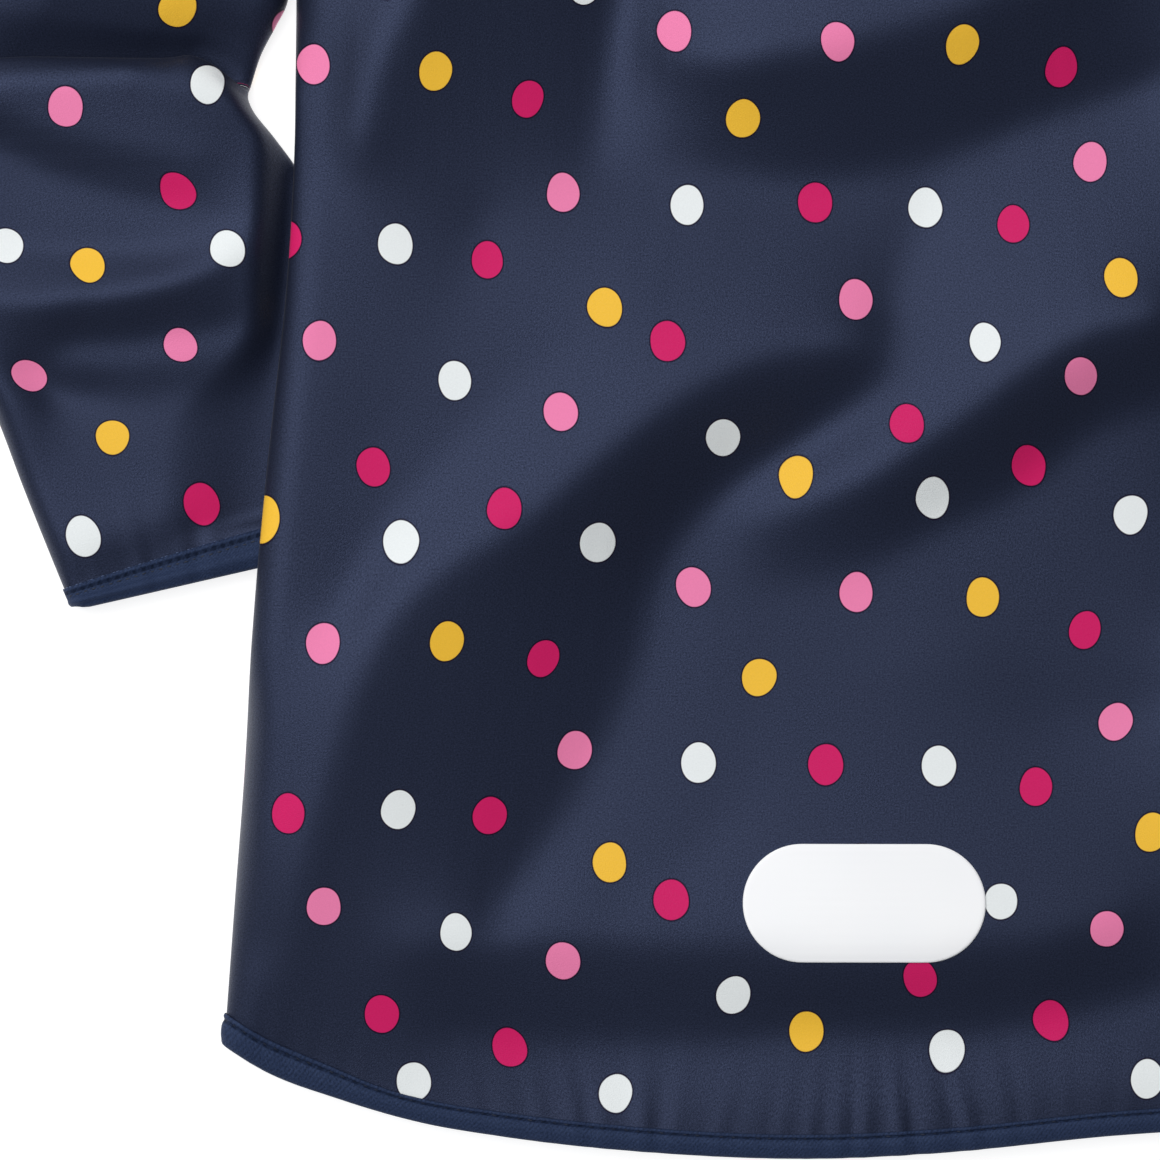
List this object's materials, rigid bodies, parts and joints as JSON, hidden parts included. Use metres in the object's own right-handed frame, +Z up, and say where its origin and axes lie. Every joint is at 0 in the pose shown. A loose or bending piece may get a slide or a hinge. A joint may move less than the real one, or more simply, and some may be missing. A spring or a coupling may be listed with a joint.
{
  "type": "softshell jacket",
  "caption": "Child's softshell jacket with stand collar, front zip, dropped back hem and polka dot print, laid face down with its sleeves bent.",
  "frame": {"origin": "centre of the jacket's outline, on the surface that it lies on", "axes": "+Z up from the surface, out of the jacket's back; +Y from the hem to the collar; +X from the wearer's left sleeve to the right one"},
  "size_m": [0.644, 0.6145, 0.0302],
  "materials": {
    "softshell": "matte",
    "elastic_binding": "matte",
    "reflective_film": "satin",
    "zip_tape": "matte",
    "zip_coil": "satin",
    "zip_metal": "satin"
  },
  "bodies": {
    "jacket": {"back_panel": "softshell", "front_left": "softshell", "front_right": "softshell", "sleeve_left": "softshell", "sleeve_right": "softshell", "collar": "softshell", "hem_binding": "elastic_binding", "cuff_binding_left": "elastic_binding", "cuff_binding_right": "elastic_binding", "reflective_label": "reflective_film", "zip_tape_left": "zip_tape", "zip_tape_right": "zip_tape", "zip_chain": "zip_coil", "zip_box": "zip_coil", "zip_slider": "zip_metal"},
    "zip_pull": {"zip_pull_tab": "zip_metal"}
  },
  "joints": [
    {"name": "zip_pull_hinge", "type": "hinge", "parent": "jacket", "child": "zip_pull", "pos_m": [0, 0.24125, 0.0016], "axis": [1, 0, 0], "range_deg": [0, 170]}
  ]
}
